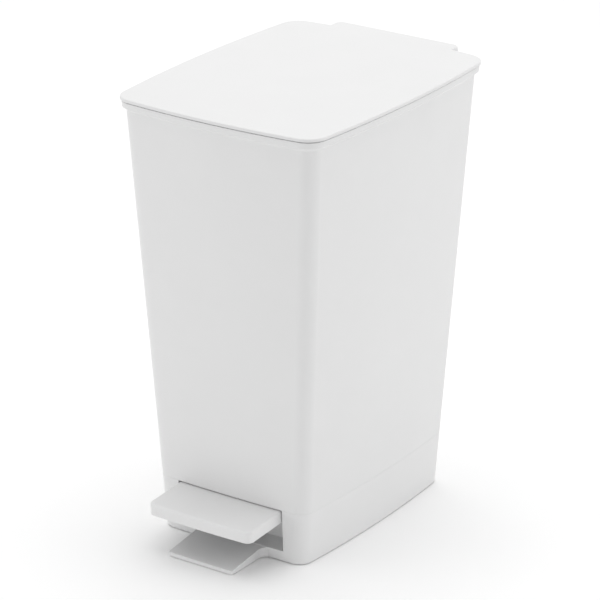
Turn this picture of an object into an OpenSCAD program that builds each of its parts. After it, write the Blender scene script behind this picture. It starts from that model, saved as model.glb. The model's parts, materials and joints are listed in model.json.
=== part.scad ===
/* [Shell] */
// Overall height, from the floor to the crown of the lid
total_h = 450; // [430:1:470]
// Width of the mouth between its corners, without the bow of the sides
mouth_w = 222; // [210:1:234]
// Depth of the mouth between its corners
mouth_d = 292; // [280:1:304]
// Width at the floor between the corners
foot_w = 170; // [160:1:180]
// Depth at the floor between the corners
foot_d = 246; // [236:1:254]
// Corner radius at the mouth
mouth_r = 16.5; // [14:0.5:20]
// Corner radius at the floor
foot_r = 14; // [12:0.5:16]
// Wall thickness of the mouldings
wall = 2.4; // [2:0.1:2.8]
// How far the rim collar stands out from the wall
collar_out = 4; // [3:0.5:5]
// Height of the rim collar
collar_h = 6; // [5:0.5:8]
// Height of the parting line between the shell and the base tray
seam_z = 56; // [54:1:60]

/* [Lid] */
// Visible height of the lid's edge
lid_edge = 4; // [3.5:0.5:5]
// Gap between the lid and the collar
lid_gap = 1; // [0.8:0.1:1.5]
// How far the lid overhangs the collar
lid_over = 1.2; // [0.5:0.1:1.6]
// Width of the hinge tongue at the back of the lid
tongue_w = 144; // [136:1:150]
// How far the lid opens, in degrees
lid_open = 80; // [70:1:85]

/* [Pedal] */
// Width of the pedal tread
tread_w = 121; // [112:0.5:121]
// Height of the top of the tread where it leaves the slot
tread_z = 55; // [52:0.5:55]
// Width of the slot in the base tray
slot_w = 123.6; // [123:0.2:127]
// Height of the sill under the slot
sill_z = 11.5; // [10:0.5:12.5]
// Width of the foot plate
plate_w = 76; // [68:1:84]
// How far the pedal turns, in degrees
pedal_turn = 12; // [10:0.5:12]

/* [Push rod] */
// Radius of the push rod
rod_r = 2.5; // [2:0.1:3]
// Radius of the pivot axle
axle_r = 3; // [2.5:0.1:3.5]
// Radius of the hinge pins
pin_r = 2.5; // [2:0.1:2.8]

/* [Hidden] */
$fn = 48;

// The origin is on the floor under the middle of the whole footprint, from the tip of the tread
// to the back of the lid's tongue. The front is towards -Y and the hinge is at +Y.
half_d = 174;
shell_y = 5;
foot_gap = 0.8;
seam_gap = 0.06;
fit = 0.06;
press = 0.02;

// Heights
lid_z = total_h - lid_edge;
rim_z = lid_z - lid_gap;
collar_z = rim_z - collar_h;
chamfer_z = collar_z - 3;
ledge_z = collar_z + 0.4;

// Bow of the front, sides and back at the mouth and at the floor
mouth_bow = [4.8, 6, 5.8];
foot_bow = [0.8, 4.6, 0.8];
side_steps = 8;
corner_steps = 8;

// The back wall leans by this angle, and the push rod runs parallel to it
back_lean = atan((mouth_d / 2 + mouth_bow[2] - foot_d / 2 - foot_bow[2]) / lid_z);

// Lid hinge axis
hinge_y = 164;
hinge_z = total_h - 15;
lug_r = 5.5;
tongue_in = 47;
lug_in = 48.5;
lug_out = 60;

// Pedal pivot axis and the pad at the back end of the pedal lever
pivot_y = -40;
pivot_z = 32;
rod_back = -22.3;
pad_r = 5;
pad_y = 115.4;
pad_z = 19;
pad_arm = norm([pad_y - pivot_y, pad_z - pivot_z]);
pad_rest = atan2(pad_z - pivot_z, pad_y - pivot_y);
rod_travel = pad_arm * (sin(pad_rest + pedal_turn) - sin(pad_rest)) * cos(back_lean)
    + pad_arm * (cos(pad_rest + pedal_turn) - cos(pad_rest)) * sin(back_lean);

// The lid's crank swings as far below the level of its axis as above it
crank_r = rod_travel / (2 * sin(lid_open / 2));
crank_pin_r = 2.5;
crank_gap = 0.9;
head_top = -crank_r * sin(lid_open / 2) - crank_pin_r - crank_gap;
head_h = 14;
foot_bottom = (pad_y - hinge_y) * sin(back_lean) + (pad_z - hinge_z) * cos(back_lean) + pad_r + 0.4;
foot_cap_h = 14;

// Pedal tread
tread_back = -98;
tread_edge = 12.5;
tread_lean = 2.8;
tread_wall = 2.6;
web_drop = 8.6;
axle_half = 58;
pedestal_in = 44;
pedestal_out = 52;
bush_r = 5;
lever_half = 22;
lever_t = 2;

// Plastic, steel and rubber colours
white = "#f0f0f0";
nylon = "#dcdcd8";
steel = "#b5b8bb";
rubber = "#4a4b4d";

// ---- Outlines ------------------------------------------------------------------------------

function mix(a, b, t) = a + (b - a) * t;

// Outward normal of a bowed side from p to q at u, which runs from -1 to 1
function side_normal(p, q, bow, u) =
    let (along = (q - p) / 2, n = [along.y, -along.x] / norm(along), t = along - 2 * bow * u * n)
    [t.y, -t.x] / norm(t);

// Points of a side from p to q that bows outward, pushed out by the corner radius r
function side_points(p, q, bow, r) =
    let (d = q - p, n = [d.y, -d.x] / norm(d))
    [for (i = [0:side_steps])
        let (u = 2 * i / side_steps - 1)
        p + d * (u + 1) / 2 + n * bow * (1 - u * u) + side_normal(p, q, bow, u) * r];

// Points of a corner arc about c, between the normals n0 and n1
function corner_points(c, n0, n1, r) =
    let (a = atan2(n0.y, n0.x), b = atan2(n1.y, n1.x), sweep = b < a ? b - a + 360 : b - a)
    [for (i = [1:corner_steps - 1]) let (t = a + sweep * i / corner_steps) c + r * [cos(t), sin(t)]];

// Rounded rectangle with bowed sides: half width, front y, back y, corner radius, [front, side, back] bow
function outline(half_w, front, back, r, bow) =
    let (
        x = half_w - r,
        c = [[-x, front + r], [x, front + r], [x, back - r], [-x, back - r]],
        b = [bow[0], bow[1], bow[2], bow[1]])
    [for (k = [0:3])
        let (p = c[k], q = c[(k + 1) % 4], s = c[(k + 2) % 4])
        each concat(
            side_points(p, q, b[k], r),
            corner_points(q, side_normal(p, q, b[k], 1), side_normal(q, s, b[(k + 1) % 4], -1), r))];

// Outline of the tapered shell at height z, moved inward by inset
function shell_outline(z, inset = 0) =
    let (
        t = z / lid_z,
        half_w = mix(foot_w, mouth_w, t) / 2 - inset,
        half_y = mix(foot_d, mouth_d, t) / 2 - inset,
        r = mix(foot_r, mouth_r, t) - inset)
    outline(half_w, shell_y - half_y, shell_y + half_y, r, mix(foot_bow, mouth_bow, t));

// Middle of the back wall's outer face at height z
function back_y(z) = shell_y + mix(foot_d / 2 + foot_bow[2], mouth_d / 2 + mouth_bow[2], z / lid_z);

// Outline of the inner bucket at height z, which leaves room behind it for the push rod
bucket_gap = 2.2;
bucket_back = 30;
function bucket_outline(z, inset = 0) =
    let (t = z / lid_z, in = wall + bucket_gap + inset)
    outline(
        mix(foot_w, mouth_w, t) / 2 - in, shell_y - mix(foot_d, mouth_d, t) / 2 + in,
        back_y(z) - bucket_back - inset, mix(foot_r, mouth_r, t) - in + 4,
        [mix(foot_bow[0], mouth_bow[0], t), mix(foot_bow[1], mouth_bow[1], t), 0.5]);

// ---- Shared shapes -------------------------------------------------------------------------

// Solid through a stack of outlines, each at its own height
module loft(rings, heights) {
    n = len(rings[0]);
    top = len(rings) - 1;
    sides = [for (j = [0:top - 1]) for (i = [0:n - 1])
        let (k = (i + 1) % n) [j * n + i, (j + 1) * n + i, (j + 1) * n + k, j * n + k]];
    polyhedron(
        points = [for (j = [0:top]) for (p = rings[j]) [p.x, p.y, heights[j]]],
        faces = concat([[for (i = [0:n - 1]) i]], sides, [[for (i = [n - 1:-1:0]) top * n + i]]));
}

// Ring wall between two outlines of the same shape
module band(outer, inner, z0, z1) {
    translate([0, 0, z0]) linear_extrude(z1 - z0) difference() {
        polygon(outer);
        polygon(inner);
    }
}

// Profile drawn in Y and Z, from x0 to x1
module across(x0, x1) {
    translate([x0, 0, 0]) rotate([90, 0, 90]) linear_extrude(x1 - x0) children();
}

// Frame at y, z whose Z axis leans with the back wall
module leaning(y, z) {
    translate([0, y, z]) rotate([-back_lean, 0, 0]) children();
}

module mirrored() {
    children();
    mirror([1, 0, 0]) children();
}

// Round bar along X
module bar(r, x0, x1, y = 0, z = 0) {
    translate([x0, y, z]) rotate([0, 90, 0]) cylinder(r = r, h = x1 - x0);
}

// Pan head screw with a cross recess. Its head rests on z = 0 and its shank points down.
module screw(shank_r, length, head_r = 3.2, head_h = 1.8) {
    slot_t = 0.9;
    difference() {
        union() {
            translate([0, 0, -length]) cylinder(r = shank_r, h = length + 0.5);
            cylinder(r = head_r, h = head_h * 0.55);
            translate([0, 0, head_h * 0.55]) cylinder(r1 = head_r, r2 = head_r * 0.72, h = head_h * 0.45);
        }
        for (a = [0, 90]) rotate([0, 0, a])
            translate([-head_r * 0.6, -slot_t / 2, head_h * 0.45]) cube([head_r * 1.2, slot_t, head_h]);
    }
}

// ---- Shell, base and bucket ----------------------------------------------------------------

// Recess for the hinge bracket in the back wall, and the slot that the lid's crank swings through
recess_half = 64;
recess_in = 2.6;
recess_h = 34;
recess_top_z = 440;
crank_slot_half = 13;
crank_slot_z = 413;
bracket_z = recess_top_z - 6;
guide_zs = [120, 370];
guide_screw_x = 11;
boss_x = 60;
boss_y = 121;
boss_r = 5;
base_screw_r = 1.75;

module body_shell() {
    color(white) difference() {
        union() {
            difference() {
                loft(
                    [shell_outline(seam_z), shell_outline(chamfer_z),
                        shell_outline(collar_z, -collar_out), shell_outline(rim_z, -collar_out)],
                    [seam_z + seam_gap, chamfer_z, collar_z, rim_z]);
                loft(
                    [shell_outline(seam_z, wall), shell_outline(ledge_z, wall),
                        shell_outline(ledge_z, wall - collar_out), shell_outline(rim_z, wall - collar_out)],
                    [seam_z, ledge_z, ledge_z + 0.01, rim_z + 1]);
            }
            // Thickened seat for the hinge bracket
            leaning(back_y(bracket_z), bracket_z)
                translate([-recess_half - 2, -recess_in - 3.6, -recess_h - 4])
                cube([2 * recess_half + 4, 3.6, recess_h + 10]);
            // Bosses for the two rod guides
            for (z = guide_zs, x = [-1, 1])
                leaning(back_y(z), z) translate([x * guide_screw_x, -wall - 3, 0])
                    rotate([-90, 0, 0]) cylinder(r = 4.2, h = 3.6);
            // Bosses that take the base screws, each on a rib to the back wall
            mirrored() translate([boss_x, boss_y, seam_z + seam_gap]) {
                cylinder(r = boss_r, h = 24);
                translate([-1.2, 0, 4]) cube([2.4, 9, 20]);
            }
        }
        leaning(back_y(bracket_z), bracket_z)
            translate([-recess_half, -recess_in, -recess_h]) cube([2 * recess_half, 20, recess_h + 20]);
        translate([-recess_half, 130, recess_top_z]) cube([2 * recess_half, 50, 20]);
        translate([-crank_slot_half, 140, crank_slot_z]) cube([2 * crank_slot_half, 40, 60]);
        mirrored() translate([boss_x, boss_y, seam_z - 1]) cylinder(r = base_screw_r + press, h = 22);
        for (z = guide_zs, x = [-1, 1])
            leaning(back_y(z), z) translate([x * guide_screw_x, -wall - 4, 0])
                rotate([-90, 0, 0]) cylinder(r = 1.3 + press, h = 4.6);
        bracket_screw_places() cylinder(r = 1.5 + press, h = 20, center = true);
    }
}

floor_t = 2.9;
floor_top = foot_gap + floor_t;
floor_rib_h = 2.2;
well_back = -94;
well_t = 2.4;
plate_front = -171;
plate_front_z = 4.8;
plate_flare_y = -129;
plate_flare_r = 12;
plate_flare_end = 60;
pad_spots = [[72, -102], [72, 104], [-72, -102], [-72, 104]];
toe_spots = [[27, -162], [-27, -162]];

// Plan of the foot plate, moved inward by inset. Its sides flare out where they meet the body.
module plate_plan(inset = 0) {
    w = plate_w / 2 - inset;
    flare = [for (a = [0:6:plate_flare_end])
        [w + plate_flare_r * (1 - cos(a)), plate_flare_y + plate_flare_r * sin(a)]];
    root = [w + plate_flare_r * (1 - cos(plate_flare_end)), -110];
    half = concat([[w - 2, plate_front + inset], [w, plate_front + inset + 2]], flare, [root]);
    polygon(concat(half, [for (i = [len(half) - 1:-1:0]) [-half[i].x, half[i].y]]));
}

// Foot plate that lies on the floor in front of the sill
module foot_plate() {
    face = -foot_d / 2 + shell_y + 1.5;
    intersection() {
        linear_extrude(sill_z) plate_plan();
        across(-60, 60)
            polygon([
                [plate_front, foot_gap], [face, foot_gap],
                [face, sill_z], [plate_front, plate_front_z]]);
    }
}

// Shallow hollow under the foot plate
module foot_plate_hollow() {
    intersection() {
        translate([0, 0, -1]) linear_extrude(plate_front_z) plate_plan(2.4);
        translate([-60, plate_front, -1]) cube([120, 50, 20]);
    }
}

// Floor, sides and back of the well behind the slot, open at the back for the lever
module pedal_well() {
    front = -foot_d / 2 + shell_y + 1;
    depth = well_back + well_t - front;
    half = slot_w / 2 + well_t;
    gap_half = 25;
    translate([-half, front, sill_z - well_t]) cube([2 * half, depth, well_t]);
    mirrored() {
        translate([slot_w / 2, front, floor_top - 0.2]) cube([well_t, depth, seam_z - floor_top - 2]);
        translate([gap_half, well_back, floor_top - 0.2])
            cube([half - gap_half, well_t, seam_z - floor_top - 2]);
    }
}

module base_tray() {
    lip_in = wall + 0.15;
    color(white) difference() {
        union() {
            difference() {
                loft([shell_outline(foot_gap), shell_outline(seam_z)], [foot_gap, seam_z]);
                loft([shell_outline(floor_top, wall), shell_outline(seam_z, wall)], [floor_top, seam_z + 1]);
            }
            pedal_well();
            // Locating lip inside the foot of the shell
            band(shell_outline(seam_z, wall - 0.5), shell_outline(seam_z, lip_in + 2), seam_z - 6, seam_z);
            band(shell_outline(seam_z, lip_in), shell_outline(seam_z, lip_in + 2), seam_z - 1, seam_z + 3.6);
            difference() {
                foot_plate();
                foot_plate_hollow();
            }
            // Low ribs that stiffen the floor
            for (y = [-75, 45, 85])
                translate([-82, shell_y + y - 0.9, floor_top - 0.2]) cube([164, 1.8, floor_rib_h + 0.2]);
            for (x = [-66, -30, 30, 66])
                translate([x - 0.9, shell_y - 118, floor_top - 0.2]) cube([1.8, 236, floor_rib_h + 0.2]);
            // Seats for the rubber feet
            for (p = pad_spots) translate([p.x, p.y, foot_gap]) cylinder(r = 8.5, h = 4.4);
            for (p = toe_spots) translate([p.x, p.y, foot_gap]) cylinder(r = 6, h = 3.2);
            // Columns for the base screws
            mirrored() translate([boss_x, boss_y, floor_top - 0.2]) {
                cylinder(r = boss_r + 1, h = seam_z - floor_top + 0.2);
                translate([-1.2, 0, 0]) cube([2.4, 6.5, seam_z - floor_top - 4]);
            }
            // Pedestals that carry the pivot axle
            mirrored() across(pedestal_in, pedestal_out) {
                translate([pivot_y, pivot_z]) circle(r = 9);
                polygon([
                    [pivot_y - 20, floor_top - 0.2], [pivot_y + 20, floor_top - 0.2],
                    [pivot_y + 8.6, pivot_z + 2.6], [pivot_y - 8.6, pivot_z + 2.6]]);
            }
        }
        // Slot for the pedal, open to the parting line
        translate([-slot_w / 2, -140, sill_z]) cube([slot_w, 32, 60]);
        translate([-slot_w / 2 - 3, -116, seam_z - 8]) cube([slot_w + 6, 8, 20]);
        // Bores
        mirrored() bar(bush_r + press, pedestal_in - 5, pedestal_out + 5, pivot_y, pivot_z);
        mirrored() translate([boss_x, boss_y, -1]) {
            cylinder(r = 4.2, h = 49);
            cylinder(r = base_screw_r + 0.3, h = 80);
        }
        for (p = pad_spots) translate([p.x, p.y, -1]) cylinder(r = 7 + press, h = 3.4);
        for (p = toe_spots) translate([p.x, p.y, -1]) cylinder(r = 4.5 + press, h = 3.2);
    }
}

module rubber_feet() {
    color(rubber) {
        for (p = pad_spots) translate([p.x, p.y, 0]) {
            cylinder(r1 = 6.4, r2 = 7, h = 0.6);
            translate([0, 0, 0.6]) cylinder(r = 7, h = 1.8);
        }
        for (p = toe_spots) translate([p.x, p.y, 0]) {
            cylinder(r1 = 4, r2 = 4.5, h = 0.5);
            translate([0, 0, 0.5]) cylinder(r = 4.5, h = 1.7);
        }
    }
}

module base_screws() {
    color(steel) mirrored() translate([boss_x, boss_y, 48]) rotate([180, 0, 0])
        screw(base_screw_r, 24, 3.6, 2.2);
}

bucket_z = 61;
bucket_t = 1.7;
bucket_rim_z = rim_z - 2.5;

module inner_bucket() {
    rim_out = -(bucket_gap + collar_out - 0.6);
    color(white) {
        difference() {
            loft(
                [bucket_outline(bucket_z + 3, 3), bucket_outline(bucket_z + 3),
                    bucket_outline(bucket_rim_z)],
                [bucket_z, bucket_z + 3, bucket_rim_z]);
            loft(
                [bucket_outline(bucket_z + 5, 5), bucket_outline(bucket_z + 5, bucket_t),
                    bucket_outline(bucket_rim_z, bucket_t)],
                [bucket_z + 2.5, bucket_z + 5, bucket_rim_z + 1]);
        }
        band(bucket_outline(bucket_rim_z, rim_out), bucket_outline(bucket_rim_z, 0.5),
            bucket_rim_z - 2, bucket_rim_z);
        band(bucket_outline(bucket_rim_z, rim_out), bucket_outline(bucket_rim_z, rim_out + 1.8),
            ledge_z + 0.3, bucket_rim_z - 1);
    }
}

// ---- Lid hinge -----------------------------------------------------------------------------

bracket_screw_spots = [[26, -20], [54, -28.5], [-26, -20], [-54, -28.5]];
bracket_t = 3;

// Places of the bracket screws, each with Z pointing out of the back
module bracket_screw_places() {
    leaning(back_y(bracket_z), bracket_z)
        for (p = bracket_screw_spots)
            translate([p.x, bracket_t - recess_in, p.y]) rotate([-90, 0, 0]) children();
}

module hinge_bracket() {
    color(white) difference() {
        union() {
            leaning(back_y(bracket_z), bracket_z)
                translate([-recess_half + 0.5, -recess_in, -recess_h + 0.5])
                cube([2 * recess_half - 1, bracket_t, recess_h + 5]);
            mirrored() across(lug_in, lug_out) {
                translate([hinge_y, hinge_z]) circle(r = lug_r);
                polygon([
                    [hinge_y, hinge_z - lug_r], [hinge_y, hinge_z + lug_r], [155, hinge_z + lug_r],
                    [153.4, hinge_z - 24], [hinge_y - 5.5, hinge_z - 24]]);
            }
        }
        mirrored() bar(pin_r + press, lug_in - 5, lug_out + 5, hinge_y, hinge_z);
        translate([-crank_slot_half, 140, crank_slot_z]) cube([2 * crank_slot_half, 40, 60]);
        bracket_screw_places() cylinder(r = 1.8, h = 20, center = true);
    }
}

module bracket_screws() {
    color(steel) bracket_screw_places() screw(1.5, 6);
}

// Headed pin pressed into the bracket's lug, on which the lid's knuckle turns
module hinge_pin() {
    color(steel) {
        bar(pin_r, lug_in - 12, lug_out + 0.1, hinge_y, hinge_z);
        bar(4.2, lug_out + 0.05, lug_out + 1.6, hinge_y, hinge_z);
    }
}

module hinge_pin_right() { hinge_pin(); }
module hinge_pin_left() { mirror([1, 0, 0]) hinge_pin(); }

// ---- Lid -----------------------------------------------------------------------------------

tongue_r = 3.6;
tongue_z = total_h - 10;
lid_back = shell_y + mouth_d / 2 + mouth_bow[2] + collar_out + lid_over;
lid_skin = 1.6;

// Rounded block of the tongue from its side edges to its back, moved inward by inset
module tongue_block(inset, z0, r) {
    x = tongue_w / 2 - inset - r;
    y = half_d - inset - r;
    top = total_h - 0.35 - inset - r;
    hull() for (sx = [-x, x]) {
        translate([sx, y, top]) sphere(r = r, $fn = 32);
        translate([sx, y, z0]) cylinder(r = r, h = 1, $fn = 32);
        translate([sx, 140, top]) rotate([90, 0, 0]) cylinder(r = r, h = 1, $fn = 32);
        translate([sx - r, 139, z0]) cube([2 * r, 1, 1]);
    }
}

module lid_shell() {
    out = -collar_out - lid_over;
    crown = [[0.86, 0.3], [0.62, 0.14], [0.3, 0.03]];
    edge = [
        [0, 0], [0, lid_edge - 2.4], [0.35, lid_edge - 1.4], [1.1, lid_edge - 0.75],
        [2.4, lid_edge - 0.45]];
    base = shell_outline(lid_z, out + edge[4][0]);
    color(white) difference() {
        union() {
            difference() {
                union() {
                    loft(
                        concat(
                            [for (e = edge) shell_outline(lid_z, out + e[0])],
                            [for (c = crown)
                                [for (p = base) [p.x * c[0], shell_y + (p.y - shell_y) * c[0]]]]),
                        concat([for (e = edge) lid_z + e[1]], [for (c = crown) total_h - c[1]]));
                    tongue_block(0, tongue_z, tongue_r);
                }
                // Hollow of the rim
                loft([for (i = [0, 1]) shell_outline(lid_z, out + wall)],
                    [lid_z - 1, total_h - 0.55 - lid_skin - 0.6]);
                // Hollow of the tongue, and what would hang below the lid's edge in front of it
                tongue_block(wall, tongue_z - 5, tongue_r - 1.8);
                translate([-100, 100, tongue_z - 10]) cube([200, lid_back - 99.9, lid_z - tongue_z + 10]);
            }
            // Pad that the lever is screwed to
            translate([-tongue_in - 2, leaf_front - 1, lid_z])
                cube([2 * tongue_in + 4, leaf_back - leaf_front + 2, lid_edge - 1.6]);
            // Rib that centres the lid in the bucket's mouth
            band(bucket_outline(rim_z, 5), bucket_outline(rim_z, 7), ledge_z + 1, total_h - 2);
        }
        // Round reliefs beside the root of the tongue
        mirrored() translate([tongue_w / 2 + 5.2, lid_back, tongue_z - 20]) cylinder(r = 5.2, h = 60);
        for (p = lid_screw_spots) translate([p.x, p.y, lid_z - 5]) cylinder(r = 1.3 + press, h = 7.2);
    }
}

leaf_t = 2.8;
leaf_front = 131;
leaf_back = 168;
leaf_z = lid_z - leaf_t;
lid_screw_spots = [[30, 138], [30, 153], [-30, 138], [-30, 153]];
cheek_in = 7;
cheek_out = 11;

// Centre of the crank pin with the lid closed
crank_pin_y = hinge_y - crank_r * cos(lid_open / 2 - back_lean);
crank_pin_z = hinge_z - crank_r * sin(lid_open / 2 - back_lean);

module lid_lever() {
    color(nylon) difference() {
        union() {
            translate([-tongue_in, leaf_front, leaf_z])
                cube([2 * tongue_in, leaf_back - leaf_front, leaf_t]);
            // Knuckles that turn on the hinge pins
            mirrored() across(tongue_in - 9, lug_in - 0.5) {
                translate([hinge_y, hinge_z]) circle(r = lug_r);
                polygon([
                    [hinge_y - lug_r, hinge_z], [hinge_y + lug_r, hinge_z],
                    [hinge_y + 4, leaf_z + 1], [hinge_y - lug_r - 2, leaf_z + 1]]);
            }
            // Cheeks of the crank
            mirrored() across(cheek_in, cheek_out) {
                translate([crank_pin_y, crank_pin_z]) circle(r = 4.5);
                polygon([
                    [crank_pin_y - 4.4, crank_pin_z + 1], [crank_pin_y + 2.6, crank_pin_z - 3.6],
                    [hinge_y - 2, hinge_z - 1], [hinge_y - 2, leaf_z + 1], [crank_pin_y - 8, leaf_z + 1]]);
            }
        }
        mirrored() bar(pin_r + fit, 30, lug_out, hinge_y, hinge_z);
        bar(crank_pin_r + press, -20, 20, crank_pin_y, crank_pin_z);
        for (p = lid_screw_spots) translate([p.x, p.y, leaf_z - 1]) cylinder(r = 1.6, h = 8);
    }
}

module lid_lever_screws() {
    color(steel) for (p = lid_screw_spots)
        translate([p.x, p.y, leaf_z]) rotate([180, 0, 0]) screw(1.3, 4.8);
}

module crank_pin() {
    color(steel) bar(crank_pin_r, -cheek_out - 0.8, cheek_out + 0.8, crank_pin_y, crank_pin_z);
}

bumper_spots = [[111.3, -100], [111.3, 90], [-111.3, -100], [-111.3, 90]];

module lid_bumpers() {
    top = total_h - 2.75;
    color(rubber) for (p = bumper_spots) translate([p.x, p.y, bucket_rim_z + 0.3])
        cylinder(r = 2.6, h = top - bucket_rim_z - 0.3);
}

// ---- Push rod ------------------------------------------------------------------------------

module push_rod() {
    color(steel) leaning(hinge_y, hinge_z) translate([0, rod_back, foot_bottom + 4])
        cylinder(r = rod_r, h = head_top - 6 - foot_bottom - 4);
}

// Cap on the top of the rod, whose flat top lifts the crank pin
module rod_head() {
    color(nylon) leaning(hinge_y, hinge_z) difference() {
        union() {
            translate([-6, rod_back - 6.2, head_top - 7]) cube([12, 13, 7]);
            translate([0, rod_back, head_top - head_h]) cylinder(r = 5, h = head_h - 1);
        }
        translate([0, rod_back, head_top - head_h - 1]) cylinder(r = rod_r + press, h = head_h - 5);
    }
}

// Cap on the bottom of the rod, which rests on the lever's pad
module rod_foot() {
    color(nylon) leaning(hinge_y, hinge_z) translate([0, rod_back, foot_bottom]) difference() {
        union() {
            cylinder(r = 7, h = 4);
            translate([0, 0, 4]) cylinder(r1 = 7, r2 = 4.6, h = foot_cap_h - 4);
        }
        translate([0, 0, 4]) cylinder(r = rod_r + press, h = foot_cap_h);
    }
}

// Guide screwed to two bosses on the back wall, with an eye that the rod slides in
module rod_guide(z) {
    eye_y = rod_back + (hinge_y - back_y(hinge_z)) * cos(back_lean);
    color(nylon) leaning(back_y(z), z) difference() {
        union() {
            translate([-16, -wall - 5.6, -5]) cube([32, 2.5, 10]);
            translate([0, eye_y, -6]) cylinder(r = 5.5, h = 12);
            translate([-3, eye_y, -5]) cube([6, -eye_y - wall - 4, 10]);
        }
        translate([0, eye_y, -20]) cylinder(r = rod_r + fit, h = 40);
        for (x = [-1, 1])
            translate([x * guide_screw_x, -20, 0]) rotate([-90, 0, 0]) cylinder(r = 1.6, h = 40);
    }
}

module rod_guide_upper() { rod_guide(guide_zs[1]); }
module rod_guide_lower() { rod_guide(guide_zs[0]); }

module guide_screws() {
    color(steel) for (z = guide_zs, x = [-1, 1])
        leaning(back_y(z), z) translate([x * guide_screw_x, -wall - 5.6, 0]) rotate([90, 0, 0])
            screw(1.3, 6, 2.8, 1.6);
}

// ---- Pedal ---------------------------------------------------------------------------------

tread_boss = [[0, -150], [0, -122]];

// Outline of the tread, moved inward by inset, about its own middle
function tread_outline(inset) =
    outline(tread_w / 2 - inset, -half_d + inset, tread_back - inset, 7 - inset * 0.8, [1, 0, 0]);

// Frame of the tread, whose top leans down to the front
slot_y = -foot_d / 2 + shell_y;
module tread_frame() {
    translate([0, slot_y, tread_z]) rotate([tread_lean, 0, 0]) translate([0, -slot_y, 0]) children();
}

module pedal_tread() {
    color(white) {
        tread_frame() difference() {
            loft(
                [tread_outline(0), tread_outline(0), tread_outline(0.9), tread_outline(3)],
                [-tread_edge, -2.6, -0.7, 0]);
            loft([for (i = [0, 1]) tread_outline(tread_wall)], [-tread_edge - 1, -tread_wall]);
            // Gap in the back skirt for the lever
            translate([-lever_half - 1, tread_back - 6, -tread_edge - 1])
                cube([2 * lever_half + 2, 12, tread_edge - web_drop + 2]);
        }
        // Ribs and screw bosses between the skin and the lever
        tread_frame() difference() {
            union() {
                for (p = tread_boss) translate([p.x, p.y, -web_drop]) cylinder(r = 4.5, h = web_drop - 1.6);
                for (x = [-40, -25, 25, 40])
                    translate([x - 0.8, -170.5, -web_drop]) cube([1.6, 70.5, web_drop - 2]);
            }
            for (p = tread_boss) translate([p.x, p.y, -12]) cylinder(r = 1.5 + press, h = 9);
        }
    }
}

// Top of the lever's web in Y and Z: flat against the tread's bosses, then down to the back
function web_z(y) = tread_z + (y - slot_y) * tan(tread_lean) - web_drop - 0.05;
lever_front = -164;
lever_bend = -108;
lever_path = [
    [lever_front, web_z(lever_front)], [lever_bend, web_z(lever_bend)],
    [-48, 40.5], [-30, 39.5], [104, 25]];

module pedal_lever() {
    end_y = pad_y + 7;
    color(steel) difference() {
        union() {
            // Web
            across(-lever_half, lever_half) polygon(concat(
                lever_path, [for (i = [len(lever_path) - 1:-1:0]) lever_path[i] - [0, lever_t]]));
            // Flanges
            mirrored() across(lever_half - lever_t, lever_half) polygon(concat(
                lever_path,
                [[end_y, 23], [end_y, 14], [96, 14], [pivot_y + 12, pivot_z - 7],
                    [pivot_y - 12, pivot_z - 7], [lever_bend, web_z(lever_bend) - 6],
                    [lever_front, web_z(lever_front) - 3.4]]));
        }
        bar(axle_r + press, -40, 40, pivot_y, pivot_z);
        bar(2 + press, -40, 40, pad_y, pad_z);
        tread_frame() for (p = tread_boss) translate([p.x, p.y, -30]) cylinder(r = 1.9, h = 40);
    }
}

module tread_screws() {
    color(steel) tread_frame() for (p = tread_boss)
        translate([p.x, p.y, -web_drop - 0.15 - lever_t]) rotate([180, 0, 0]) screw(1.5, 7.4);
}

// Nylon pad at the back end of the lever, with stubs in the flanges
module lever_pad() {
    color(nylon) {
        bar(pad_r, -lever_half + lever_t + 0.1, lever_half - lever_t - 0.1, pad_y, pad_z);
        bar(2, -lever_half - 0.6, lever_half + 0.6, pad_y, pad_z);
    }
}

clip_x = pedestal_out + 2;
groove_r = 2.3;

module pivot_axle() {
    color(steel) difference() {
        bar(axle_r, -axle_half, axle_half, pivot_y, pivot_z);
        mirrored() difference() {
            bar(axle_r + 1, clip_x, clip_x + 1.1, pivot_y, pivot_z);
            bar(groove_r, clip_x - 1, clip_x + 2, pivot_y, pivot_z);
        }
    }
}

// Open retaining rings in the grooves of the axle
module axle_clips() {
    color(steel) mirrored() difference() {
        bar(5.4, clip_x + 0.05, clip_x + 1.05, pivot_y, pivot_z);
        bar(groove_r + press, clip_x - 1, clip_x + 2, pivot_y, pivot_z);
        translate([clip_x - 1, pivot_y - groove_r * 0.85, pivot_z - 8]) cube([4, groove_r * 1.7, 8]);
    }
}

// Flanged bush in a pedestal, in which the axle turns
module axle_bush() {
    color(nylon) difference() {
        union() {
            bar(bush_r, pedestal_in, pedestal_out + 0.1, pivot_y, pivot_z);
            bar(bush_r + 1.6, pedestal_out + 0.05, pedestal_out + 1.3, pivot_y, pivot_z);
        }
        bar(axle_r + fit, 0, 80, pivot_y, pivot_z);
    }
}

module axle_bush_right() { axle_bush(); }
module axle_bush_left() { mirror([1, 0, 0]) axle_bush(); }

body_shell();
base_tray();
rubber_feet();
base_screws();
inner_bucket();
hinge_bracket();
bracket_screws();
hinge_pin_left();
hinge_pin_right();
rod_guide_upper();
rod_guide_lower();
guide_screws();
axle_bush_left();
axle_bush_right();
lid_shell();
lid_lever();
lid_lever_screws();
crank_pin();
lid_bumpers();
push_rod();
rod_head();
rod_foot();
pedal_tread();
pedal_lever();
tread_screws();
pivot_axle();
axle_clips();
lever_pad();
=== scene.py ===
import json
import math

import bmesh
import bpy
from mathutils import Matrix, Vector


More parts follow.
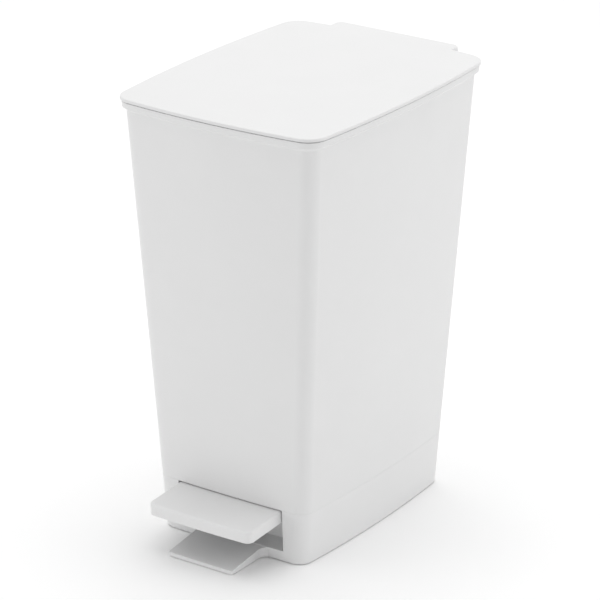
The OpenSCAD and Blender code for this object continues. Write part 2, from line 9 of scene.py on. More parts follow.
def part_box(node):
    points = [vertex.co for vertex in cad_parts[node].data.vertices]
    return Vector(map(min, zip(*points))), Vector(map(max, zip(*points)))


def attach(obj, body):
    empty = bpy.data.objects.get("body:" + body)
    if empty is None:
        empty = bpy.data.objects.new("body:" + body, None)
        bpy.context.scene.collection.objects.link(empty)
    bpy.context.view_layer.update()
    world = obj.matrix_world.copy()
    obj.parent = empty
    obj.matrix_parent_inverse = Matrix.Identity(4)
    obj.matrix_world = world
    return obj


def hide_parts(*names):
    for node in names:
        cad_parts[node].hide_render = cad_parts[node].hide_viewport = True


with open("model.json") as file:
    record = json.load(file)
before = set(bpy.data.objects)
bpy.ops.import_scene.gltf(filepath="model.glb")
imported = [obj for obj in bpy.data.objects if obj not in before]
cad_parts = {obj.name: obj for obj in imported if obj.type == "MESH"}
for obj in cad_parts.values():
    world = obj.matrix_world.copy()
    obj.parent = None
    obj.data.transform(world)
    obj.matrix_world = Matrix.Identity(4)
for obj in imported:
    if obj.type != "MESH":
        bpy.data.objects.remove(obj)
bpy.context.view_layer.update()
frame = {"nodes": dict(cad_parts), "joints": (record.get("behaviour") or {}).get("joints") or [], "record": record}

# The object's lengths are in millimetres until its meshes are made. The lights, the floor and the
# camera's distance are in metres.
METRES = 0.001


# ---- Sizes taken from the frame ---------------------------------------------------------------

def box_mm(node):
    low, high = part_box(node)
    return low / METRES, high / METRES


def joint_point(name):
    return next(Vector(j["pos_m"]) / METRES for j in frame["joints"] if j["name"] == name)


TOTAL_H = box_mm("lid_shell")[1].z
RIM_Z = box_mm("body_shell")[1].z
SHELL_FOOT_Z = box_mm("body_shell")[0].z
SLAB_Z = box_mm("base_tray")[0].z
BUCKET_Z = box_mm("inner_bucket")[0].z
BUCKET_RIM_Z = box_mm("inner_bucket")[1].z
TREAD_FRONT = box_mm("pedal_tread")[0].y
TREAD_HALF = box_mm("pedal_tread")[1].x
TONGUE_BACK = box_mm("lid_shell")[1].y
PLATE_FRONT = box_mm("base_tray")[0].y
PIVOT = joint_point("pedal_pivot")

# ---- Sizes of the design ----------------------------------------------------------------------

SHELL_Y = 5
LID_Z = 446
SEAM_Z = 56
WALL = 2.4
COLLAR_OUT = 4
COLLAR_Z = RIM_Z - 6
CHAMFER_Z = COLLAR_Z - 3
LEDGE_Z = COLLAR_Z + 0.4
LID_OUT = COLLAR_OUT + 1.2
MOUTH = {"w": 222, "d": 292, "r": 16.5, "bow": (4.8, 6, 5.8)}
FOOT = {"w": 170, "d": 246, "r": 14, "bow": (0.8, 4.6, 0.8)}
# In radians
BACK_LEAN = math.atan((MOUTH["d"] / 2 + MOUTH["bow"][2] - FOOT["d"] / 2 - FOOT["bow"][2]) / LID_Z)

SLOT_HALF = 61.8
SILL_Z = 11.5
FLOOR_TOP = SLAB_Z + 2.9
BUCKET_T = 1.7
BUCKET_GAP = 2.2
BUCKET_BACK = 30

SIDE_STEPS = 28
CORNER_STEPS = 14


# ---- Outlines, the same as the CAD part's but finer --------------------------------------------

def mix(a, b, t):
    return a + (b - a) * t


def side_normal(p, q, bow, u):
    along = (q - p) / 2
    out = Vector((along.y, -along.x)).normalized()
    tangent = along - 2 * bow * u * out
    return Vector((tangent.y, -tangent.x)).normalized()


def outline(half_w, front, back, r, bow, side_steps=SIDE_STEPS, corner_steps=CORNER_STEPS):
    """Rounded rectangle whose front, sides and back bow outward."""
    x = half_w - r
    corners = [
        Vector((-x, front + r)), Vector((x, front + r)),
        Vector((x, back - r)), Vector((-x, back - r))]
    bows = [bow[0], bow[1], bow[2], bow[1]]
    points = []
    for k in range(4):
        p, q, s = corners[k], corners[(k + 1) % 4], corners[(k + 2) % 4]
        side = q - p
        out = Vector((side.y, -side.x)).normalized()
        for i in range(side_steps + 1):
            u = 2 * i / side_steps - 1
            bulge = out * bows[k] * (1 - u * u)
            points.append(p + side * (u + 1) / 2 + bulge + side_normal(p, q, bows[k], u) * r)
        n0 = side_normal(p, q, bows[k], 1)
        n1 = side_normal(q, s, bows[(k + 1) % 4], -1)
        a0, a1 = math.atan2(n0.y, n0.x), math.atan2(n1.y, n1.x)
        if a1 < a0:
            a1 += 2 * math.pi
        for i in range(1, corner_steps):
            a = mix(a0, a1, i / corner_steps)
            points.append(q + Vector((math.cos(a), math.sin(a))) * r)
    return points


def mixed_bow(t):
    return [mix(a, b, t) for a, b in zip(FOOT["bow"], MOUTH["bow"])]


def shell_outline(z, inset=0):
    t = z / LID_Z
    half_w = mix(FOOT["w"], MOUTH["w"], t) / 2 - inset
    half_y = mix(FOOT["d"], MOUTH["d"], t) / 2 - inset
    r = mix(FOOT["r"], MOUTH["r"], t) - inset
    return outline(half_w, SHELL_Y - half_y, SHELL_Y + half_y, r, mixed_bow(t))


def back_y(z):
    t = z / LID_Z
    return SHELL_Y + mix(FOOT["d"] / 2 + FOOT["bow"][2], MOUTH["d"] / 2 + MOUTH["bow"][2], t)


def bucket_outline(z, inset=0):
    t = z / LID_Z
    total = WALL + BUCKET_GAP + inset
    front = SHELL_Y - mix(FOOT["d"], MOUTH["d"], t) / 2 + total
    r = mix(FOOT["r"], MOUTH["r"], t) - total + 4
    bow = [*mixed_bow(t)[:2], 0.5]
    half_w = mix(FOOT["w"], MOUTH["w"], t) / 2 - total
    return outline(half_w, front, back_y(z) - BUCKET_BACK - inset, r, bow)


def rounded(profile, closed=False, steps=4):
    """Points (inset, z) of a profile given as (inset, z, radius), its corners turned into arcs."""
    count = len(profile)
    points = []
    for k, (inset, z, radius) in enumerate(profile):
        corner = Vector((inset, z))
        if radius == 0 or (not closed and k in (0, count - 1)):
            points.append(corner)
            continue
        before = Vector(profile[k - 1][:2]) - corner
        after = Vector(profile[(k + 1) % count][:2]) - corner
        cut = radius / math.tan(before.angle(after) / 2)
        a = corner + before.normalized() * min(cut, 0.48 * before.length)
        b = corner + after.normalized() * min(cut, 0.48 * after.length)
        for i in range(steps + 1):
            t = i / steps
            points.append(a * (1 - t) ** 2 + corner * 2 * t * (1 - t) + b * t * t)
    return points


def filled_in(points, closed=False, longest=45):
    """The same profile with extra points along its long straight stretches."""
    result = []
    for k, p in enumerate(points):
        result.append(p)
        if k == len(points) - 1 and not closed:
            break
        q = points[(k + 1) % len(points)]
        parts = max(1, math.ceil((q - p).length / longest))
        result += [p.lerp(q, i / parts) for i in range(1, parts)]
    return result


# ---- Mesh making -------------------------------------------------------------------------------

def solid(name, points, faces):
    """A closed mesh from points in millimetres."""
    mesh = bpy.data.meshes.new(name)
    mesh.from_pydata([Vector(p) * METRES for p in points], [], faces)
    bm = bmesh.new()
    bm.from_mesh(mesh)
    bmesh.ops.recalc_face_normals(bm, faces=bm.faces)
    bm.to_mesh(mesh)
    bm.free()
    piece = bpy.data.objects.new(name, mesh)
    bpy.context.scene.collection.objects.link(piece)
    return piece


def loft(name, rings, closed=False):
    """A skin through rings of points, capped at both ends or joined end to end."""
    n = len(rings[0])
    count = len(rings)
    faces = []
    for j in range(count if closed else count - 1):
        a, b = j * n, (j + 1) % count * n
        faces += [(a + i, a + (i + 1) % n, b + (i + 1) % n, b + i) for i in range(n)]
    if not closed:
        faces.append(tuple(reversed(range(n))))
        faces.append(tuple(range((count - 1) * n, count * n)))
    return solid(name, [p for ring in rings for p in ring], faces)


def lofted(name, profile, ring, closed=False, steps=4):
    """A loft whose section is a rounded profile; ring(z, inset) gives the outline."""
    points = filled_in(rounded(profile, closed, steps), closed)
    rings = [[(q.x, q.y, p.y) for q in ring(p.y, p.x)] for p in points]
    return loft(name, rings, closed)


def extruded(outline_points, low, high, place=Matrix.Identity(4)):
    """A straight prism between two heights, in the frame that place gives."""
    n = len(outline_points)
    points = [place @ Vector((p[0], p[1], h)) for h in (low, high) for p in outline_points]
    faces = [(i, (i + 1) % n, n + (i + 1) % n, n + i) for i in range(n)]
    faces += [tuple(reversed(range(n))), tuple(range(n, 2 * n))]
    return solid("tool", points, faces)


def block(x0, x1, y0, y1, z0, z1, place=Matrix.Identity(4)):
    return extruded([(x0, y0), (x1, y0), (x1, y1), (x0, y1)], z0, z1, place)


def drum(r, low, high, place=Matrix.Identity(4), steps=40):
    turns = [2 * math.pi * i / steps for i in range(steps)]
    return extruded([(r * math.cos(a), r * math.sin(a)) for a in turns], low, high, place)


def at(x, y, z):
    return Matrix.Translation((x, y, z))


def turned(degrees, axis):
    return Matrix.Rotation(math.radians(degrees), 4, axis)


def leaning(y, z):
    """Frame at y, z whose Z axis leans with the back wall."""
    return at(0, y, z) @ Matrix.Rotation(-BACK_LEAN, 4, "X")


# Frame that takes a profile in Y and Z, and extrudes it along X
ACROSS = Matrix(((0, 0, 1, 0), (1, 0, 0, 0), (0, 1, 0, 0), (0, 0, 0, 1)))


def settle(piece):
    """Applies the piece's modifiers."""
    graph = bpy.context.evaluated_depsgraph_get()
    mesh = bpy.data.meshes.new_from_object(piece.evaluated_get(graph))
    old = piece.data
    piece.modifiers.clear()
    piece.data = mesh
    bpy.data.meshes.remove(old)


def combine(piece, tool, operation):
    boolean = piece.modifiers.new("combine", "BOOLEAN")
    boolean.operation = operation
    boolean.solver = "MANIFOLD"
    boolean.object = tool
    settle(piece)
    mesh = tool.data
    bpy.data.objects.remove(tool)
    bpy.data.meshes.remove(mesh)


def add(piece, *tools):
    for tool in tools:
        combine(piece, tool, "UNION")


def cut(piece, *tools):
    for tool in tools:
        combine(piece, tool, "DIFFERENCE")


def soften(piece, width, segments=2, angle=35):
    """Small round edges wherever faces meet at more than the given angle, and even shading."""
    bm = bmesh.new()
    bm.from_mesh(piece.data)
    bmesh.ops.remove_doubles(bm, verts=bm.verts, dist=0.004 * METRES)
    bmesh.ops.dissolve_degenerate(bm, edges=bm.edges, dist=0.004 * METRES)
    for face in bm.faces:
        face.smooth = True
    bm.to_mesh(piece.data)
    bm.free()
    bevel = piece.modifiers.new("edges", "BEVEL")
    bevel.width = width * METRES
    bevel.segments = segments
    bevel.limit_method = "ANGLE"
    bevel.angle_limit = math.radians(angle)
    bevel.miter_outer = "MITER_ARC"
    bevel.use_clamp_overlap = True
    settle(piece)
    normals = piece.modifiers.new("shading", "WEIGHTED_NORMAL")
    normals.mode = "FACE_AREA"
    normals.weight = 50
    normals.keep_sharp = True
    settle(piece)


def finished(piece, body, slot, material, *nodes):
    """Puts a piece on its body in place of CAD nodes, with its finish."""
    piece.data.materials.clear()
    piece.data.materials.append(material)
    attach(piece, body)
    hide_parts(*nodes)


# ---- Materials ---------------------------------------------------------------------------------

class Nodes:
    """Short hand for building one material's node tree."""

    def __init__(self, name):
        self.material = bpy.data.materials.new(name)
        self.material.use_nodes = True
        self.tree = self.material.node_tree
        self.tree.nodes.clear()
        self.shader = self.add("ShaderNodeBsdfPrincipled")
        output = self.add("ShaderNodeOutputMaterial")
        self.link(self.shader.outputs["BSDF"], output.inputs["Surface"])
        coordinates = self.add("ShaderNodeTexCoord")
        self.place = coordinates.outputs["Object"]

    def add(self, kind, **values):
        node = self.tree.nodes.new(kind)
        for name, value in values.items():
            setattr(node, name, value)
        return node

    def link(self, source, target):
        self.tree.links.new(source, target)

    def stretched(self, scale):
        """Object coordinates scaled by a vector, so that a pattern is longer one way."""
        mapping = self.add("ShaderNodeMapping")
        mapping.inputs["Scale"].default_value = scale
        self.link(self.place, mapping.inputs["Vector"])
        return mapping.outputs["Vector"]

    def noise(self, size_mm, detail=2.0, roughness=0.5, place=None):
        """Noise whose features are about size_mm across."""
        node = self.add("ShaderNodeTexNoise")
        node.inputs["Scale"].default_value = 1 / (size_mm * METRES)
        node.inputs["Detail"].default_value = detail
        node.inputs["Roughness"].default_value = roughness
        self.link(place or self.place, node.inputs["Vector"])
        return node.outputs["Fac"]

    def ramp(self, factor, *stops):
        """Colour ramp over (position, colour) stops."""
        node = self.add("ShaderNodeValToRGB")
        elements = node.color_ramp.elements
        for element, (position, colour) in zip(elements, stops):
            element.position = position
            element.color = (*colour, 1)
        self.link(factor, node.inputs["Fac"])
        return node.outputs["Color"]

    def between(self, factor, low, high, from_low=0.3, from_high=0.7):
        """Factor mapped to a number between low and high."""
        node = self.add("ShaderNodeMapRange")
        node.inputs["From Min"].default_value = from_low
        node.inputs["From Max"].default_value = from_high
        node.inputs["To Min"].default_value = low
        node.inputs["To Max"].default_value = high
        self.link(factor, node.inputs["Value"])
        return node.outputs["Result"]

    def bump(self, height, depth_mm, under=None):
        """Relief of the given depth, on top of another relief if there is one."""
        node = self.add("ShaderNodeBump")
        node.inputs["Strength"].default_value = 1.0
        node.inputs["Distance"].default_value = depth_mm * METRES
        self.link(height, node.inputs["Height"])
        if under is not None:
            self.link(under, node.inputs["Normal"])
        return node.outputs["Normal"]

    def set(self, **values):
        for name, value in values.items():
            self.shader.inputs[name.replace("_", " ")].default_value = value


def grey(value, warm=0.0):
    return (value * (1 + warm), value, value * (1 - warm))


def moulded_plastic(name, tone, roughness, warm=0.0, grain_mm=0.45, grain_depth=0.006):
    """Satin moulded plastic with a fine grain, slow waves of the wall and uneven gloss."""
    n = Nodes(name)
    clouds = n.noise(70, 3, 0.55)
    n.link(n.ramp(clouds, (0.3, grey(tone * 0.985, warm)), (0.7, grey(tone, warm))),
           n.shader.inputs["Base Color"])
    smudge = n.noise(28, 4, 0.6)
    n.link(n.between(smudge, roughness - 0.03, roughness + 0.04), n.shader.inputs["Roughness"])
    wave = n.bump(n.noise(55, 1, 0.4), 0.09)
    grain = n.bump(n.noise(grain_mm, 2, 0.6), grain_depth, wave)
    n.link(grain, n.shader.inputs["Normal"])
    n.set(IOR=1.49)
    return n.material


def zinc_steel():
    """Zinc plated pressed steel, with fine drawn lines and a slightly uneven passivation."""
    n = Nodes("zinc_plated_steel")
    lines = n.noise(1.2, 3, 0.6, n.stretched((1, 0.05, 0.6)))
    patches = n.noise(9, 3, 0.6)
    n.link(n.ramp(patches, (0.3, (0.46, 0.47, 0.49)), (0.7, (0.60, 0.61, 0.62))),
           n.shader.inputs["Base Color"])
    n.link(n.between(lines, 0.24, 0.42), n.shader.inputs["Roughness"])
    n.link(n.bump(lines, 0.006), n.shader.inputs["Normal"])
    n.set(Metallic=1.0)
    return n.material


def bright_steel():
    """Drawn wire and turned pins, brighter and smoother than the plate."""
    n = Nodes("bright_steel")
    lines = n.noise(0.8, 2, 0.5, n.stretched((0.08, 1, 1)))
    n.link(n.ramp(n.noise(14, 2), (0.3, (0.55, 0.55, 0.56)), (0.7, (0.66, 0.66, 0.67))),
           n.shader.inputs["Base Color"])
    n.link(n.between(lines, 0.18, 0.3), n.shader.inputs["Roughness"])
    n.link(n.bump(lines, 0.003), n.shader.inputs["Normal"])
    n.set(Metallic=1.0)
    return n.material


def soft_rubber(name, tone):
    n = Nodes(name)
    n.link(n.ramp(n.noise(6, 3, 0.6), (0.3, grey(tone)), (0.7, grey(tone * 1.3))),
           n.shader.inputs["Base Color"])
    n.link(n.between(n.noise(3, 3), 0.7, 0.85), n.shader.inputs["Roughness"])
    n.link(n.bump(n.noise(0.35, 3, 0.7), 0.02), n.shader.inputs["Normal"])
    n.set(IOR=1.52)
    return n.material


def pale_floor():
    n = Nodes("pale_floor")
    n.link(n.ramp(n.noise(400, 2), (0.3, grey(0.97)), (0.7, grey(0.98))),
           n.shader.inputs["Base Color"])
    n.set(Roughness=0.9)
    return n.material


WHITE = moulded_plastic("white_shell_plastic", 0.77, 0.42)
LID_WHITE = moulded_plastic("white_lid_plastic", 0.765, 0.44)
BUCKET_WHITE = moulded_plastic("white_bucket_plastic", 0.76, 0.36, grain_mm=0.8, grain_depth=0.003)
NYLON = moulded_plastic("natural_nylon", 0.66, 0.38, warm=0.03, grain_mm=0.7, grain_depth=0.004)
ZINC = zinc_steel()
BRIGHT = bright_steel()
RUBBER = soft_rubber("dark_rubber", 0.05)
PALE_RUBBER = soft_rubber("pale_rubber", 0.34)

# ---- Body shell --------------------------------------------------------------------------------

BRACKET_Z = 434
RECESS_HALF = 64
RECESS_IN = 2.6
RECESS_H = 34
CRANK_SLOT = (13, 413)
GUIDE_ZS = (120, 370)
GUIDE_SCREW_X = 11
BOSS = (60, 121, 5)
BRACKET_SCREWS = [(26, -20), (54, -28.5), (-26, -20), (-54, -28.5)]


def make_shell():
    profile = [
        (0, SHELL_FOOT_Z, 0.15), (0, CHAMFER_Z, 2.5), (-COLLAR_OUT, COLLAR_Z, 0.9),
        (-COLLAR_OUT, RIM_Z, 0.6), (WALL - COLLAR_OUT, RIM_Z, 0.4),
        (WALL - COLLAR_OUT, LEDGE_Z, 0.4), (WALL, LEDGE_Z, 0.5), (WALL, SHELL_FOOT_Z, 0.3)]
    shell = lofted("shell_moulding", profile, shell_outline, closed=True)
    seat = leaning(back_y(BRACKET_Z), BRACKET_Z)
    half, inner = RECESS_HALF + 2, -RECESS_IN - 3.6
    add(shell, block(-half, half, inner, -RECESS_IN + 0.1, -RECESS_H - 4, 6, seat))
    for z in GUIDE_ZS:
        for side in (-1, 1):
            spot = at(side * GUIDE_SCREW_X, -WALL - 3, 0)
            place = leaning(back_y(z), z) @ spot @ turned(-90, "X")
            add(shell, drum(4.2, 0, 3.6, place))
            cut(shell, drum(1.32, -1, 3.6, place))
    for side in (-1, 1):
        foot = at(side * BOSS[0], BOSS[1], SHELL_FOOT_Z)
        add(shell, drum(BOSS[2], 0, 24, foot))
        add(shell, block(-1.2, 1.2, 0, 9, 4, 24, foot))
        cut(shell, drum(1.77, -1, 20.7, foot))
    cut(shell, block(-RECESS_HALF, RECESS_HALF, -RECESS_IN, 17.4, -RECESS_H, 20, seat))
    cut(shell, block(-RECESS_HALF, RECESS_HALF, 130, 180, 440, 460))
    cut(shell, block(-CRANK_SLOT[0], CRANK_SLOT[0], 140, 180, CRANK_SLOT[1], 473))
    for x, z in BRACKET_SCREWS:
        place = leaning(back_y(BRACKET_Z), BRACKET_Z) @ at(x, 0, z) @ turned(-90, "X")
        cut(shell, drum(1.52, -10, 10, place))
    soften(shell, 0.35)
    finished(shell, "can", "white_plastic", WHITE, "body_shell")


# ---- Base tray ---------------------------------------------------------------------------------

FOOT_PADS = [(72, -102), (72, 104), (-72, -102), (-72, 104)]
TOE_PADS = [(27, -162), (-27, -162)]
PLATE_HALF = 38
PLATE_FRONT_Z = 4.8
PLATE_FACE = -FOOT["d"] / 2 + SHELL_Y + 1.5
FLARE = {"y": -129, "r": 12, "end": 60}
WELL = {"back": -94, "t": 2.4, "gap": 25}
PEDESTAL = (44, 52)
RIB_YS = (-70, 50, 90)
RIB_XS = (-66, -30, 30, 66)
RIB_HALF_T = 0.9


def plate_plan(inset):
    """Plan of the foot plate, whose sides flare out where they meet the body."""
    half = PLATE_HALF - inset
    angles = [math.radians(FLARE["end"] * i / 16) for i in range(17)]
    flare = [
        (half + FLARE["r"] * (1 - math.cos(a)), FLARE["y"] + FLARE["r"] * math.sin(a))
        for a in angles]
    nose = [(half - 2, PLATE_FRONT + inset), (half - 0.6, PLATE_FRONT + inset + 0.6),
            (half, PLATE_FRONT + inset + 2)]
    right = nose + flare + [(flare[-1][0], PLATE_FACE)]
    return right + [(-x, y) for x, y in reversed(right)]


def foot_plate():
    """The plate, whose top climbs from its front edge to the sill."""
    plan = plate_plan(0)
    n = len(plan)
    def top(y):
        return mix(PLATE_FRONT_Z, SILL_Z, (y - PLATE_FRONT) / (PLATE_FACE - PLATE_FRONT))
    points = [(x, y, SLAB_Z) for x, y in plan] + [(x, y, top(y)) for x, y in plan]
    faces = [(i, (i + 1) % n, n + (i + 1) % n, n + i) for i in range(n)]
    faces += [tuple(reversed(range(n))), tuple(range(n, 2 * n))]
    plate = solid("tool", points, faces)
    hollow = [(x, min(y, PLATE_FRONT + 50)) for x, y in plate_plan(2.4)]
    cut(plate, extruded(hollow, -1, PLATE_FRONT_Z - 1))
    return plate


def pedestal(side):
    """Web that carries the pivot axle, round at its top."""
    r = 9
    angles = [math.radians(-16 + 212 * i / 24) for i in range(25)]
    top = [(PIVOT.y + r * math.cos(a), PIVOT.z + r * math.sin(a)) for a in angles]
    profile = [(PIVOT.y + 20, FLOOR_TOP - 0.2)] + top + [(PIVOT.y - 20, FLOOR_TOP - 0.2)]
    low, high = sorted((side * PEDESTAL[0], side * PEDESTAL[1]))
    return extruded(profile, low, high, ACROSS)


def add_pedal_well(base):
    """Floor, sides and back of the well behind the slot, open at the back for the lever."""
    front = -FOOT["d"] / 2 + SHELL_Y + 1
    back = WELL["back"] + WELL["t"]
    half = SLOT_HALF + WELL["t"]
    low, high = FLOOR_TOP - 0.2, SEAM_Z - 2.2
    add(base, block(-half, half, front, back, SILL_Z - WELL["t"], SILL_Z))
    for side in (-1, 1):
        x0, x1 = sorted((side * SLOT_HALF, side * half))
        add(base, block(x0, x1, front, back, low, high))
        x0, x1 = sorted((side * WELL["gap"], side * half))
        add(base, block(x0, x1, WELL["back"], back, low, high))


def make_base():
    lip = WALL + 0.15
    profile = [
        (7, SLAB_Z, 0), (0, SLAB_Z, 1.0), (0, SEAM_Z, 0.15), (lip, SEAM_Z, 0.1),
        (lip, SEAM_Z + 3.6, 0.6), (lip + 2, SEAM_Z + 3.6, 0.6), (lip + 2, SEAM_Z - 6, 0.4),
        (WALL, SEAM_Z - 7.5, 0.6), (WALL, FLOOR_TOP, 1.2), (7, FLOOR_TOP, 0)]
    def ring(z, inset):
        return shell_outline(min(z, SEAM_Z), inset)
    base = lofted("base_moulding", profile, ring)
    add(base, foot_plate())
    add_pedal_well(base)
    rib_top = FLOOR_TOP + 2.2
    rib_foot = FLOOR_TOP - 0.2
    for y in RIB_YS:
        add(base, block(-82, 82, y - RIB_HALF_T, y + RIB_HALF_T, rib_foot, rib_top))
    for x in RIB_XS:
        low, high = x - RIB_HALF_T, x + RIB_HALF_T
        add(base, block(low, high, SHELL_Y - 118, SHELL_Y + 118, rib_foot, rib_top))
    for x, y in FOOT_PADS:
        add(base, drum(8.5, SLAB_Z + 0.2, SLAB_Z + 4.4, at(x, y, 0)))
    for x, y in TOE_PADS:
        add(base, drum(6, SLAB_Z, 4, at(x, y, 0)))
    for side in (-1, 1):
        foot = at(side * BOSS[0], BOSS[1], 0)
        add(base, drum(BOSS[2] + 1, FLOOR_TOP - 0.2, SEAM_Z, foot))
        add(base, block(-1.2, 1.2, 0, 6.5, FLOOR_TOP - 0.2, SEAM_Z - 4, foot))
        add(base, pedestal(side))
    cut(base, block(-SLOT_HALF, SLOT_HALF, -140, -108, SILL_Z, 72))
    cut(base, block(-SLOT_HALF - 3, SLOT_HALF + 3, -116, -108, SEAM_Z - 8, SEAM_Z + 12))
    for side in (-1, 1):
        axle = at(side * 48, PIVOT.y, PIVOT.z) @ turned(90, "Y")
        cut(base, drum(5.02, -9, 9, axle))
        foot = at(side * BOSS[0], BOSS[1], 0)
        cut(base, drum(4.2, -1, 48, foot), drum(2.05, 40, 79, foot))
    for x, y in FOOT_PADS:
        cut(base, drum(7.02, -1, 2.4, at(x, y, 0)))
    for x, y in TOE_PADS:
        cut(base, drum(4.52, -1, 2.2, at(x, y, 0)))
    soften(base, 0.5, 3)
    finished(base, "can", "white_plastic", WHITE, "base_tray")


# ---- Inner bucket ------------------------------------------------------------------------------

def make_bucket():
    flange = -(BUCKET_GAP + COLLAR_OUT - 0.6)
    lip_z = LEDGE_Z + 0.3
    profile = [
        (14, BUCKET_Z, 0), (0, BUCKET_Z, 4), (0, BUCKET_RIM_Z - 2, 0.7),
        (flange + 1.8, BUCKET_RIM_Z - 2, 0.3), (flange + 1.8, lip_z, 0.3), (flange, lip_z, 0.4),
        (flange, BUCKET_RIM_Z, 1.1), (BUCKET_T, BUCKET_RIM_Z, 0.9), (BUCKET_T, BUCKET_Z + 2.5, 4),
        (14, BUCKET_Z + 2.5, 0)]
    bucket = lofted("bucket_moulding", profile, bucket_outline, steps=6)
    soften(bucket, 0.2)
    finished(bucket, "can", "white_plastic", BUCKET_WHITE, "inner_bucket")


# ---- Lid ---------------------------------------------------------------------------------------

TONGUE_HALF = 72
TONGUE_R = 3.6
TONGUE_CORNER = 7
TONGUE_SKIRT_Z = 440
TONGUE_FRONT = 139
LID_BACK = SHELL_Y + MOUTH["d"] / 2 + MOUTH["bow"][2] + LID_OUT
EDGE_R = 2.2
CROWN = 0.36
LID_UNDER = TOTAL_H - 2.75
LEAF = {"front": 131, "back": 168, "half": 47}
LID_SCREWS = [(30, 138), (30, 153), (-30, 138), (-30, 153)]


def tongue(inset, z0):
    """Rounded block from inside the lid to the back of the tongue, moved inward by inset."""
    r = TONGUE_R - inset * 0.75
    corner = TONGUE_CORNER - inset
    top = TOTAL_H - 0.32 - inset
    def ring(z, edge):
        half, back = TONGUE_HALF - inset - edge, TONGUE_BACK - inset - edge
        return outline(half, TONGUE_FRONT, back, corner - edge, (0, 0, 0), 6, 12)
    return lofted("tool", [(r + 0.1, top, 0), (0, top, r), (0, z0, 0)], ring, steps=6)


def lid_ring(z, inset):
    return shell_outline(LID_Z, inset - LID_OUT)


def make_lid():
    flat = 10
    profile = [
        (14, LID_UNDER, 0), (WALL, LID_UNDER, 0.8), (WALL, LID_Z, 0.5), (0, LID_Z, 0.5),
        (0, TOTAL_H - 0.5, EDGE_R), (flat, TOTAL_H - CROWN, 0)]
    points = filled_in(rounded(profile, steps=6))
    rings = [[(q.x, q.y, p.y) for q in lid_ring(0, p.x)] for p in points]
    edge = rings[-1]
    for share in [0.93, 0.84, 0.74, 0.63, 0.52, 0.41, 0.3, 0.19, 0.08]:
        z = TOTAL_H - CROWN * share ** 2
        rings.append([(x * share, SHELL_Y + (y - SHELL_Y) * share, z) for x, y, _ in edge])
    lid = loft("lid_moulding", rings)
    back = tongue(0, TONGUE_SKIRT_Z)
    cut(back, block(-100, 100, 100, LID_BACK - 0.1, TONGUE_SKIRT_Z - 5, LID_Z))
    add(lid, back)
    cut(lid, tongue(WALL, TONGUE_SKIRT_Z - 5))
    pad = LEAF["half"] + 2
    add(lid, block(-pad, pad, LEAF["front"] - 1, LEAF["back"] + 1, LID_Z, LID_UNDER + 1))
    rib = lofted("tool", [(5, LEDGE_Z + 1, 0.5), (5, TOTAL_H - 2, 0), (7, TOTAL_H - 2, 0),
                          (7, LEDGE_Z + 1, 0.5)],
                 lambda z, inset: bucket_outline(RIM_Z, inset), closed=True)
    add(lid, rib)
    for side in (-1, 1):
        cut(lid, drum(5.2, 420, 480, at(side * (TONGUE_HALF + 5.2), LID_BACK, 0)))
    for x, y in LID_SCREWS:
        cut(lid, drum(1.32, LID_Z - 5, LID_Z + 2.2, at(x, y, 0)))
    soften(lid, 0.5, 3)
    finished(lid, "lid", "white_plastic", LID_WHITE, "lid_shell")


# ---- Pedal tread -------------------------------------------------------------------------------

TREAD_BACK = -98
TREAD_EDGE = 12.5
TREAD_WALL = 2.6
TREAD_LEAN = 2.8
TREAD_Z = 55
TREAD_BOSSES = [(0, -150), (0, -122)]
TREAD_RIB_XS = (-40, -25, 25, 40)
TREAD_CORNER = 7
TREAD_BOW = 1
WEB_DROP = 8.6


def make_tread():
    def ring(z, inset):
        r = max(TREAD_CORNER - inset * 0.8, 0.5)
        front = TREAD_FRONT + TREAD_BOW + 0.1 + inset
        bow = (TREAD_BOW, 0, 0)
        return outline(TREAD_HALF - inset, front, TREAD_BACK - inset, r, bow, 20, 10)
    profile = [
        (5.5, -TREAD_WALL, 0), (TREAD_WALL, -TREAD_WALL, 0.8), (TREAD_WALL, -TREAD_EDGE, 0.6),
        (0, -TREAD_EDGE, 0.7), (0, 0, 2.8), (5.5, 0, 0)]
    tread = lofted("tread_moulding", profile, ring, steps=6)
    cut(tread, block(-23, 23, TREAD_BACK - 6, TREAD_BACK + 6, -TREAD_EDGE - 1, -WEB_DROP + 1))
    for x in TREAD_RIB_XS:
        add(tread, block(x - 0.8, x + 0.8, -171.5, -100, -WEB_DROP, -2))
    for x, y in TREAD_BOSSES:
        add(tread, drum(4.5, -WEB_DROP, -2, at(x, y, 0)))
        cut(tread, drum(1.52, -12, -3, at(x, y, 0)))
    soften(tread, 0.4, 3)
    wall_y = -FOOT["d"] / 2 + SHELL_Y
    lean = at(0, wall_y, TREAD_Z) @ turned(TREAD_LEAN, "X") @ at(0, -wall_y, 0)
    scale = Matrix.Scale(METRES, 4)
    tread.data.transform(scale @ lean @ scale.inverted())
    finished(tread, "pedal", "white_plastic", WHITE, "pedal_tread")


# ---- Small parts, finished from their CAD solids -----------------------------------------------

def finish_small_part(node, body, slot, material, edge):
    """The CAD node's own shape with its flats made whole and its edges rounded."""
    source = frame["nodes"][node]
    piece = bpy.data.objects.new(node + "_finished", source.data.copy())
    bpy.context.scene.collection.objects.link(piece)
    bm = bmesh.new()
    bm.from_mesh(piece.data)
    bmesh.ops.remove_doubles(bm, verts=bm.verts, dist=0.002 * METRES)
    bmesh.ops.dissolve_limit(
        bm, angle_limit=math.radians(0.5), verts=bm.verts, edges=bm.edges,
        use_dissolve_boundaries=False)
    bm.to_mesh(piece.data)
    bm.free()
    soften(piece, edge)
    finished(piece, body, slot, material, node)


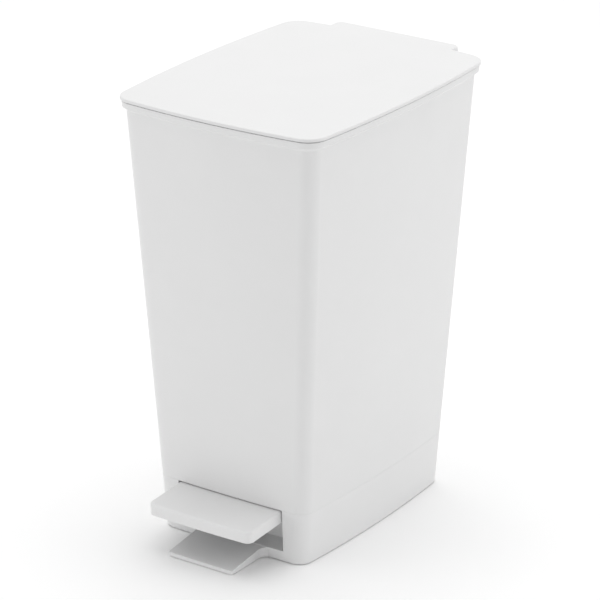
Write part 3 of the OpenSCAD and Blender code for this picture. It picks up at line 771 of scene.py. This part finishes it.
SMALL_PARTS = [
    ("rubber_feet", "rubber", RUBBER, 0.3),
    ("base_screws", "steel", BRIGHT, 0.15),
    ("hinge_bracket", "white_plastic", WHITE, 0.4),
    ("bracket_screws", "steel", BRIGHT, 0.15),
    ("hinge_pin_left", "steel", BRIGHT, 0.3),
    ("hinge_pin_right", "steel", BRIGHT, 0.3),
    ("rod_guide_upper", "nylon", NYLON, 0.3),
    ("rod_guide_lower", "nylon", NYLON, 0.3),
    ("guide_screws", "steel", BRIGHT, 0.12),
    ("axle_bush_left", "nylon", NYLON, 0.2),
    ("axle_bush_right", "nylon", NYLON, 0.2),
    ("lid_lever", "nylon", NYLON, 0.3),
    ("lid_lever_screws", "steel", BRIGHT, 0.12),
    ("crank_pin", "steel", BRIGHT, 0.3),
    ("lid_bumpers", "rubber", PALE_RUBBER, 0.4),
    ("push_rod", "steel", BRIGHT, 0.4),
    ("rod_head", "nylon", NYLON, 0.4),
    ("rod_foot", "nylon", NYLON, 0.4),
    ("pedal_lever", "steel", ZINC, 0.35),
    ("tread_screws", "steel", BRIGHT, 0.12),
    ("pivot_axle", "steel", BRIGHT, 0.25),
    ("axle_clips", "steel", BRIGHT, 0.12),
    ("lever_pad", "nylon", NYLON, 0.3),
]


def make_small_parts():
    bodies = frame["record"]["behaviour"]["bodies"]
    body_of = {node: body for body, nodes in bodies.items() for node in nodes}
    for node, slot, material, edge in SMALL_PARTS:
        finish_small_part(node, body_of[node], slot, material, edge)


# ---- Camera, light and floor -------------------------------------------------------------------

def make_camera():
    azimuth, elevation = math.radians(34.53), math.radians(21.96)
    target = Vector((-3.7, SHELL_Y, 218.1)) * METRES
    distance = 3.29875
    back = Vector((
        math.sin(azimuth) * math.cos(elevation), -math.cos(azimuth) * math.cos(elevation),
        math.sin(elevation)))
    data = bpy.data.cameras.new("camera")
    data.sensor_width = 36
    data.lens = 201.2
    camera = bpy.data.objects.new("camera", data)
    camera.location = target + back * distance
    camera.rotation_mode = "QUATERNION"
    camera.rotation_quaternion = (-back).to_track_quat("-Z", "Y")
    bpy.context.scene.collection.objects.link(camera)
    bpy.context.scene.camera = camera


def softbox(name, place, aim, size, power):
    data = bpy.data.lights.new(name, "AREA")
    data.shape = "RECTANGLE"
    data.size, data.size_y = size
    data.energy = power
    lamp = bpy.data.objects.new(name, data)
    lamp.location = place
    lamp.rotation_mode = "QUATERNION"
    lamp.rotation_quaternion = (Vector(aim) - Vector(place)).to_track_quat("-Z", "Y")
    bpy.context.scene.collection.objects.link(lamp)


def make_studio():
    world = bpy.data.worlds.new("studio")
    world.use_nodes = True
    background = world.node_tree.nodes["Background"]
    background.inputs["Color"].default_value = (1, 1, 1, 1)
    background.inputs["Strength"].default_value = 0.7
    bpy.context.scene.world = world
    softbox("overhead_softbox", (-0.4, 0.6, 2.8), (-0.3, 0.4, 0), (3.0, 3.0), 41)
    softbox("right_softbox", (2.3, 1.2, 1.0), (0, 0, 0.25), (1.4, 1.6), 9)
    softbox("left_softbox", (-2.0, -1.8, 0.55), (0, 0, 0.12), (1.6, 0.9), 8)
    half = 9
    corners = [(-half, -half, 0), (half, -half, 0), (half, half, 0), (-half, half, 0)]
    mesh = bpy.data.meshes.new("floor")
    mesh.from_pydata(corners, [], [(0, 1, 2, 3)])
    floor = bpy.data.objects.new("floor", mesh)
    mesh.materials.append(pale_floor())
    bpy.context.scene.collection.objects.link(floor)
    bpy.context.scene.view_settings.view_transform = "Standard"


make_camera()
make_shell()
make_base()
make_bucket()
make_lid()
make_tread()
make_small_parts()
make_studio()
